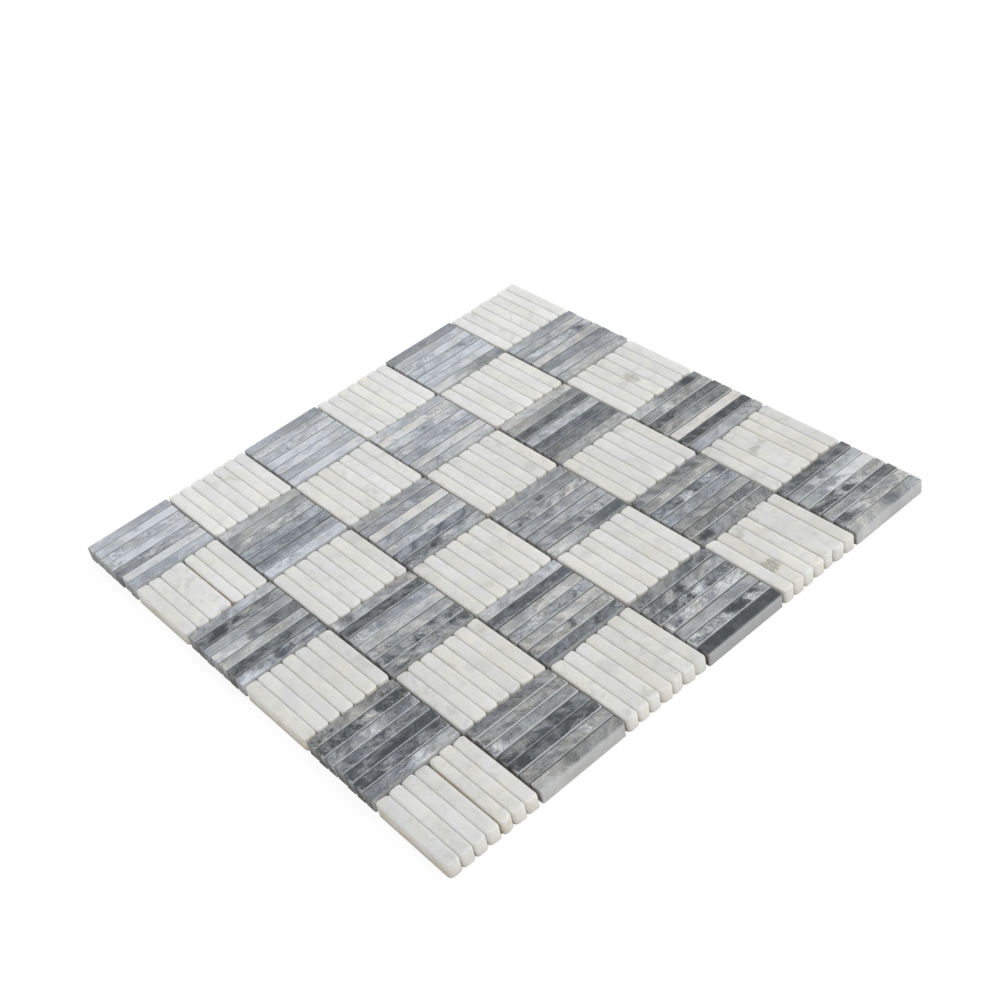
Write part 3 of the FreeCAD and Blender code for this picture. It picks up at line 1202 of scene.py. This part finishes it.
class GreyStrips(MarbleStrips):
    """Sawn grey strips: straight, with square corners and a narrow powdery arris."""

    stone, run, crisp = "grey", Run.ALONG_X, True
    unevenness = Unevenness(least=(0.984, 0.950, 0.99), most=(1.003, 1.0, 1.0), stray=(0.22 * MM, 0.13 * MM),
                            waves=(0.10 * MM, 0.10 * MM), wave_length=9 * MM)
    attributes = ("tone", "far_tone", "cloudiness", "cloud_size", "warmth", "veining", "powder", "bedding")
    SPOTS = {
        "b1": {5: Spot(0.10, 4.5, 0.35), 4: Spot(0.62, 5.0, -0.25), 3: Spot(0.15, 4.0, -0.25),
               1: Spot(0.42, 4.0, -0.25)},
        "d1": {5: Spot(0.58, 5.0, 0.50), 4: Spot(0.10, 4.0, -0.45), 6: Spot(0.45, 4.0, -0.25),
               2: Spot(0.62, 5.0, -0.3)},
        "f1": {2: Spot(0.16, 5.0, -0.35), 3: Spot(0.55, 3.0, -0.25), 1: Spot(0.58, 5.5, -0.2)},
        "a2": {6: Spot(0.56, 4.5, 0.45), 5: Spot(0.48, 4.5, 0.32), 4: Spot(0.62, 4.5, 0.22),
               2: Spot(0.36, 3.5, 0.25), 1: Spot(0.62, 6.0, 0.25), 7: Spot(0.52, 5.0, 0.12)},
        "c2": {2: Spot(0.50, 2.5, -0.35), 4: Spot(0.30, 4.0, 0.2)},
        "e2": {5: Spot(0.45, 4.0, 0.45), 1: Spot(0.12, 4.0, -0.35)},
        "b3": {7: Spot(0.15, 5.0, -0.25), 2: Spot(0.55, 4.5, 0.25)},
        "d3": {6: Spot(0.50, 2.5, -0.30), 5: Spot(0.15, 5.0, -0.35)},
        "f3": {7: Spot(0.80, 5.0, -0.25), 6: Spot(0.30, 4.0, 0.2)},
        "a4": {1: Spot(0.52, 5.5, -0.45), 6: Spot(0.25, 4.0, -0.2)},
        "c4": {1: Spot(0.42, 4.0, -0.35), 6: Spot(0.60, 4.0, 0.2)},
        "d5": {5: Spot(0.50, 2.5, -0.25)},
        "f5": {5: Spot(0.80, 3.0, -0.35)},
        "b5": {6: Spot(0.12, 5.0, -0.2)},
    }
    LIGHTNESS = {"b1": -0.06, "f1": 0.07, "a2": -0.03, "c2": 0.04, "b3": 0.05, "d3": 0.055, "e4": 0.04, "d5": 0.08,
                 "e2": 0.02, "f3": 0.03, "c4": 0.04, "f5": 0.02}
    STANDOUTS = {
        "b1": {1: Cut(SILVER, 0.3, 0.9, ASH), 3: Cut(CHARCOAL, 0.6), 4: Cut(SLATE, 0.7), 7: Cut(STEEL, 0.4, 0.8)},
        "d1": {1: Cut(NEAR_BLACK, 0.1), 2: Cut(STEEL, 1.5), 3: Cut(ASH, 0.2, 0.6), 4: Cut(SILVER, 0.9),
               5: Cut(SLATE, 0.9)},
        "f1": {1: Cut(SILVER, 0.3, far=STEEL), 2: Cut(ASH, 0.7), 4: Cut(CHARCOAL, 0.7, far=ASH),
               5: Cut(STEEL, 0.2, 0.45, PALE), 6: Cut(STEEL, 0.15, 0.4, SILVER), 7: Cut(CHARCOAL, 0.4)},
        "a2": {1: Cut(STEEL, 0.35, 0.5, SILVER), 4: Cut(SLATE, 0.5), 5: Cut(STEEL, 0.6), 2: Cut(CHARCOAL, 0.8),
               3: Cut(CHARCOAL, 0.5), 6: Cut(CHARCOAL, 0.9), 7: Cut(STEEL, 0.4, 1.0)},
        "c2": {1: Cut(SLATE, 0.4), 2: Cut(ASH, 0.5, 0.9), 6: Cut(CHARCOAL, 0.4), 7: Cut(SILVER, 0.3)},
        "e2": {5: Cut(SLATE, 0.9, 0.25), 4: Cut(STEEL, 0.5, 0.3), 6: Cut(ASH, 0.3)},
        "b3": {1: Cut(SLATE, 0.9), 2: Cut(SLATE, 0.9), 4: Cut(SILVER, 0.3), 6: Cut(NEAR_BLACK, 0.3, far=CHARCOAL),
               7: Cut(ASH, 0.6, 0.8)},
        "d3": {1: Cut(SILVER, 0.5, 0.6, CHARCOAL), 5: Cut(ASH, 0.8), 7: Cut(STEEL, 0.3, 0.6), 2: Cut(STEEL, 0.5, 0.5)},
        "f3": {1: Cut(ASH, 0.3, 0.45), 2: Cut(NEAR_BLACK, 0.4), 3: Cut(PALE, 0.1), 5: Cut(CHARCOAL, 0.3),
               7: Cut(SILVER, 0.4, far=SLATE)},
        "a4": {1: Cut(SILVER, 1.0, far=STEEL), 2: Cut(SLATE, 0.4), 4: Cut(PALE, 0.4, far=CHARCOAL),
               6: Cut(CHARCOAL, 0.7, far=STEEL)},
        "c4": {5: Cut(PALE, 0.1), 6: Cut(STEEL, 0.4, 0.4), 1: Cut(STEEL, 0.8), 2: Cut(SLATE, 0.5)},
        "e4": {2: Cut(CHARCOAL, 0.3), 3: Cut(CHARCOAL, 0.3), 5: Cut(CHARCOAL, 0.4), 4: Cut(SILVER, 0.2),
               7: Cut(SILVER, 0.3)},
        "b5": {1: Cut(PALE, 0.1, 0.05), 5: Cut(SILVER, 0.6), 3: Cut(STEEL, 0.4, 0.05), 2: Cut(ASH, 0.5, 0.05),
               4: Cut(ASH, 0.4, 0.05), 7: Cut(SILVER, 0.2)},
        "d5": {1: Cut(SILVER, 0.3), 3: Cut(ASH, 0.5, 0.1), 5: Cut(SILVER, 0.4), 6: Cut(PALE, 0.2), 7: Cut(SILVER, 0.2)},
        "f5": {5: Cut(SILVER, 0.6), 3: Cut(STEEL, 0.2)},
        "a6": {4: Cut(PALE, 0.2, 0.1), 3: Cut(STEEL, 0.4, far=SILVER)},
        "c6": {4: Cut(PALE, 0.1), 1: Cut(PALE, 0.2)},
        "e6": {1: Cut(PALE, 0.3, far=STEEL), 3: Cut(PALE, 0.2), 7: Cut(STEEL, 0.2)},
    }
    SPOTTED_SHARE = 0.35

    def paint(self, block: Block, place: int) -> dict[str, float]:
        """Chooses a strip's stone: lighter and bluer towards the far left corner, partly the stone's own change and
        partly a painted reflection and haze.

        Args:
            block: The strip's block.
            place: Its place in the block, from 1.

        Returns:
            Its attributes' values.
        """
        pick = self.random.uniform
        # The row and column trends make far-left strips lighter and bluer: partly the stone, partly painted reflection
        # and haze
        tone = 0.43 + 0.068 * block.row - 0.005 * block.column + pick(-0.09, 0.09)
        far = tone + pick(-0.14, 0.14)
        clouds = pick(0.25, 0.6) - 0.05 * block.row
        warmth = 0.61 - 0.017 * block.row ** 2 + 0.02 * block.column + pick(-0.26, 0.26)
        cut = self.STANDOUTS.get(block.name, {}).get(place)
        if cut:
            tone, far, clouds = cut.near.value, (cut.far or cut.near).value, cut.clouds
            warmth = cut.warmth or warmth
        shift = self.LIGHTNESS.get(block.name, 0.0)
        strength = 1 - 0.12 * block.row
        along = pick(0.05, 0.95)
        size = pick(2.0, 5.0) * (pick(0, 1) < self.SPOTTED_SHARE)
        chance = Spot(along, size, pick(-0.25, 0.2) * strength)
        return {
            "tone": tone + shift,
            "far_tone": far + shift,
            "cloudiness": 0.10 + 0.40 * clouds,
            "cloud_size": pick(3.6, 7.0),
            "warmth": warmth,
            "veining": pick(-0.32, 0.28),
            "powder": pick(0.2, 0.8) * (1 - 0.09 * block.row),
            "bedding": pick(-1.1, 1.1) * (1 - 0.17 * block.row),
        } | self.spot(block, place, chance)


class YarnWeaver:
    """The geometry tree that weaves one set of flat yarns."""

    def __init__(self) -> None:
        """Builds the tree."""
        inputs = (Port("Start", SHAPE), Port("Length"), Port("Width"), Port("Thickness"), Port("Yarns", WHOLE),
                  Port("Pitch"), Port("Height"), Port("Phase"), Port("Wander"), Port("Turn"), Port("Seed", WHOLE),
                  Port("Finish", "NodeSocketMaterial"))
        w, given = new_group("weave_yarns", GEOMETRY, inputs, (Port("Yarns", SHAPE),))
        pitch, thickness = given["Pitch"], given["Thickness"]
        half = given["Length"] * 0.5
        middle = (given["Yarns"] - 1.0) * 0.5
        spine = w.node("GeometryNodeCurvePrimitiveLine",
                       {"Start": w.vector(X=half * -1.0), "End": w.vector(X=half * 1.0)}, mode="POINTS")
        cut = w.node("GeometryNodeResampleCurve", {"Curve": spine[0], "Length": pitch * 0.5}, mode="LENGTH")
        row = w.node("GeometryNodeMeshLine", {"Count": given["Yarns"], "Offset": w.vector(Y=pitch),
                                              "Start Location": w.vector(Y=middle * pitch * -1.0)}, mode="OFFSET")
        laid = w.node("GeometryNodeInstanceOnPoints", {"Points": row["Mesh"], "Instance": cut["Curve"]})
        real = w.node("GeometryNodeRealizeInstances", {"Geometry": laid["Instances"]})
        yarn = w.node("GeometryNodeSetPosition",
                      {"Geometry": real["Geometry"], "Offset": self.wave(w, given, middle)})
        section = w.node("GeometryNodeCurvePrimitiveQuadrilateral", {"Width": given["Width"], "Height": thickness})
        rounded = w.node("GeometryNodeFilletCurve", {"Curve": section[0], "Count": 1, "Radius": thickness * 0.5},
                         mode="POLY")
        level = w.node("GeometryNodeSetCurveNormal", {"Curve": yarn["Geometry"]}, mode="Z_UP")
        woven = w.node("GeometryNodeCurveToMesh",
                       {"Curve": level["Curve"], "Profile Curve": rounded["Curve"], "Fill Caps": True})
        turned = w.node("GeometryNodeTransform", {"Geometry": woven["Mesh"], "Rotation": w.vector(Z=given["Turn"])})
        dressed = w.node("GeometryNodeSetMaterial", {"Geometry": turned["Geometry"], "Material": given["Finish"]})
        self.tree = w.give(Yarns=dressed["Geometry"])

    @staticmethod
    def wave(w: Wiring, given: Placed, middle: Signal) -> Signal:
        """The yarns' way over and under each other, and their sideways wander.

        Args:
            w: The tree's wiring.
            given: The tree's inputs.
            middle: The middle yarn's number.

        Returns:
            How far each point moves.
        """
        waves_per_metre = 22.0
        place = w.node("GeometryNodeInputPosition")[0]
        parts = w.node("ShaderNodeSeparateXYZ", {0: place})
        crossing, yarn = (parts[axis] / given["Pitch"] + middle for axis in "XY")
        swing = w.math("COSINE", (crossing + yarn + given["Phase"]) * math.pi)
        lift = given["Height"] + swing * (given["Thickness"] * 0.5)
        wander = w.node("ShaderNodeTexNoise", {"Vector": place, "W": given["Seed"], "Scale": waves_per_metre},
                        noise_dimensions="4D")["Fac"]
        return w.vector(Y=(wander - 0.5) * given["Wander"], Z=lift)


@dataclass
class MeshBacking:
    """The woven glass-fibre mesh under the stone."""

    finish: bpy.types.Material
    weaver: YarnWeaver
    pitch: float = 5.0 * MM
    yarn_width: float = 1.0 * MM
    yarn_thickness: float = 0.2 * MM
    wander: float = 0.9 * MM

    def yarns(self, node: str, run: Run) -> bpy.types.Object:
        """Weaves the yarns of one direction.

        Args:
            node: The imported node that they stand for.
            run: The axis that they lie along.

        Returns:
            The finished piece.
        """
        low, high = (Vector(corner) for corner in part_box(node))
        breadth = (high - low)[1 - run.value]
        count = round((breadth - self.yarn_width) / self.pitch) + 1
        piece = bpy.data.objects.new(f"woven_{node}", bpy.data.meshes.new(node))
        run_tree(piece, self.weaver.tree, {
            "Length": (high - low)[run.value], "Width": self.yarn_width, "Thickness": self.yarn_thickness,
            "Yarns": count, "Pitch": self.pitch, "Height": self.yarn_thickness, "Phase": float(run.value),
            "Wander": self.wander, "Turn": QUARTER_TURN * run.value, "Seed": YARN_SEED + run.value,
            "Finish": self.finish,
        }, crisp=False)
        self.map_along(piece.data, run)
        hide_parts(node)
        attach(piece, "root")
        log.info("%s: %d yarns, %d faces", piece.name, count, len(piece.data.polygons))
        return piece

    @staticmethod
    def map_along(mesh: bpy.types.Mesh, run: Run) -> None:
        """Gives the yarns a UV map in millimetres, V along the yarn.

        Args:
            mesh: The yarns.
            run: The axis that they lie along.
        """
        mesh.shade_smooth()
        corners = np.zeros(len(mesh.loops), dtype=int)
        mesh.loops.foreach_get("vertex_index", corners)
        places = places_of(mesh)[corners] / MM
        flat = np.column_stack((places[:, 1 - run.value] + places[:, 2], places[:, run.value]))
        mesh.uv_layers.new(name=YARN_MAP).data.foreach_set("uv", flat.ravel())


@dataclass
class Studio:
    """A plain pale floor, one large soft light, an even surround and the camera."""

    floor_side: float = 12.0
    floor_albedo: float = 0.75
    floor_seen_albedo: float = 0.13
    floor_glow: float = 0.89
    surround: float = 0.76
    key_distance: float = 2.4
    key_side: float = 1.6
    key_power: float = 22.0
    key_direction: tuple[float, float, float] = (0.50, -0.52, 0.69)
    camera_place: tuple[float, float, float] = (-0.32060, -0.50449, 0.50921)
    camera_aim: tuple[float, float, float] = (0.01188, 0.00323, 0.0084)
    camera_roll: float = math.radians(-12.344)
    lens: float = 55.483
    sensor: float = 36.0

    def floor(self) -> None:
        """Lays the floor, which the camera and mirrors see as white while it keeps a faint shadow."""
        half = self.floor_side / 2
        mesh = bpy.data.meshes.new("floor")
        mesh.from_pydata([(-half, -half, 0), (half, -half, 0), (half, half, 0), (-half, half, 0)], [], [(0, 1, 2, 3)])
        finish, w, shader = new_material("pale_floor")
        w.tree.nodes.remove(shader)
        seen = w.node("ShaderNodeLightPath")
        watched = w.math("MAXIMUM", w.math("MAXIMUM", seen["Is Camera Ray"], seen["Is Glossy Ray"]),
                         seen["Is Transmission Ray"])
        shades = ((self.floor_albedo,) * 3 + (1.0,), (self.floor_seen_albedo,) * 3 + (1.0,))
        plain = w.node("ShaderNodeBsdfDiffuse", {"Color": w.mix(watched, *shades)})
        glow = w.node("ShaderNodeEmission", {"Strength": watched * self.floor_glow})
        both = w.node("ShaderNodeAddShader", {0: plain[0], 1: glow[0]})
        w.fill(w.tree.nodes["Material Output"], {"Surface": both[0]})
        mesh.materials.append(finish)
        piece = bpy.data.objects.new("floor", mesh)
        bpy.context.scene.collection.objects.link(piece)

    def lights(self) -> None:
        """Hangs the soft light and fills the surround."""
        world = bpy.data.worlds.new("surround")
        world.use_nodes = True
        w = Wiring(world.node_tree)
        seen = w.node("ShaderNodeLightPath")
        watched = w.math("MAXIMUM", seen["Is Camera Ray"], seen["Is Transmission Ray"])
        level = self.surround + watched * (1.0 - self.surround)
        w.fill(w.tree.nodes["Background"], {"Color": (1.0, 1.0, 1.0, 1.0), "Strength": level})
        bpy.context.scene.world = world
        lamp = bpy.data.lights.new("soft_light", "AREA")
        lamp.shape, lamp.size, lamp.energy = "SQUARE", self.key_side, self.key_power
        light = bpy.data.objects.new("soft_light", lamp)
        direction = Vector(self.key_direction).normalized()
        light.location = direction * self.key_distance
        light.rotation_euler = direction.to_track_quat("Z", "Y").to_euler()
        bpy.context.scene.collection.objects.link(light)

    def camera(self) -> None:
        """Sets up the camera at the viewing angle of the photograph."""
        lens = bpy.data.cameras.new("camera")
        lens.lens, lens.sensor_width = self.lens, self.sensor
        eye = Vector(self.camera_place)
        ahead = (Vector(self.camera_aim) - eye).normalized()
        level_right = ahead.cross(Vector((0, 0, 1))).normalized()
        level_up = level_right.cross(ahead)
        right = math.cos(self.camera_roll) * level_right + math.sin(self.camera_roll) * level_up
        turn = Matrix((right, right.cross(ahead), -ahead)).transposed().to_4x4()
        camera = bpy.data.objects.new("camera", lens)
        camera.matrix_world = Matrix.Translation(eye) @ turn
        bpy.context.scene.collection.objects.link(camera)
        bpy.context.scene.camera = camera


def main() -> None:
    """Builds the sheet and the studio in order."""
    low, high = (Vector(corner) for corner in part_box("white_block_a1"))
    length, thickness = high.y - low.y, high.z - low.z
    white_width, grey_width = ((length - (STRIPS - 1) * gap) / STRIPS for gap in (WHITE_GAP, GREY_GAP))
    tumbled = StripForm(length, white_width, thickness, corner_radius=1.7 * MM, corner_steps=2,
                        soft_side=1.7 * MM, soft_end=1.3 * MM, side_drop=0.7 * MM, end_drop=1.1 * MM,
                        soft_steps=3, side_steps=2, back_wear=1.0)
    sawn = StripForm(length, grey_width, thickness, corner_radius=0.6 * MM, corner_steps=1,
                     soft_side=0.45 * MM, soft_end=0.45 * MM, side_drop=0.4 * MM, end_drop=0.4 * MM,
                     soft_steps=1, side_steps=4, back_wear=0.4)
    effects, layer = StoneEffects(), StripLayer()
    whites = WhiteStrips(tumbled, WHITE_GAP, layer, WhiteMarble().material(effects), WHITE_SEED)
    greys = GreyStrips(sawn, GREY_GAP, layer, GreyMarble().material(effects), GREY_SEED)
    for column in range(len(COLUMNS)):
        whites.column(column)
        greys.column(column)
    backing = MeshBacking(GlassFibre().material(), YarnWeaver())
    backing.yarns("mesh_weft_yarns", Run.ALONG_X)
    backing.yarns("mesh_warp_yarns", Run.ALONG_Y)
    studio = Studio()
    studio.floor()
    studio.lights()
    studio.camera()
    bpy.context.scene.view_settings.view_transform = "Standard"


if __name__ == "__main__":
    main()
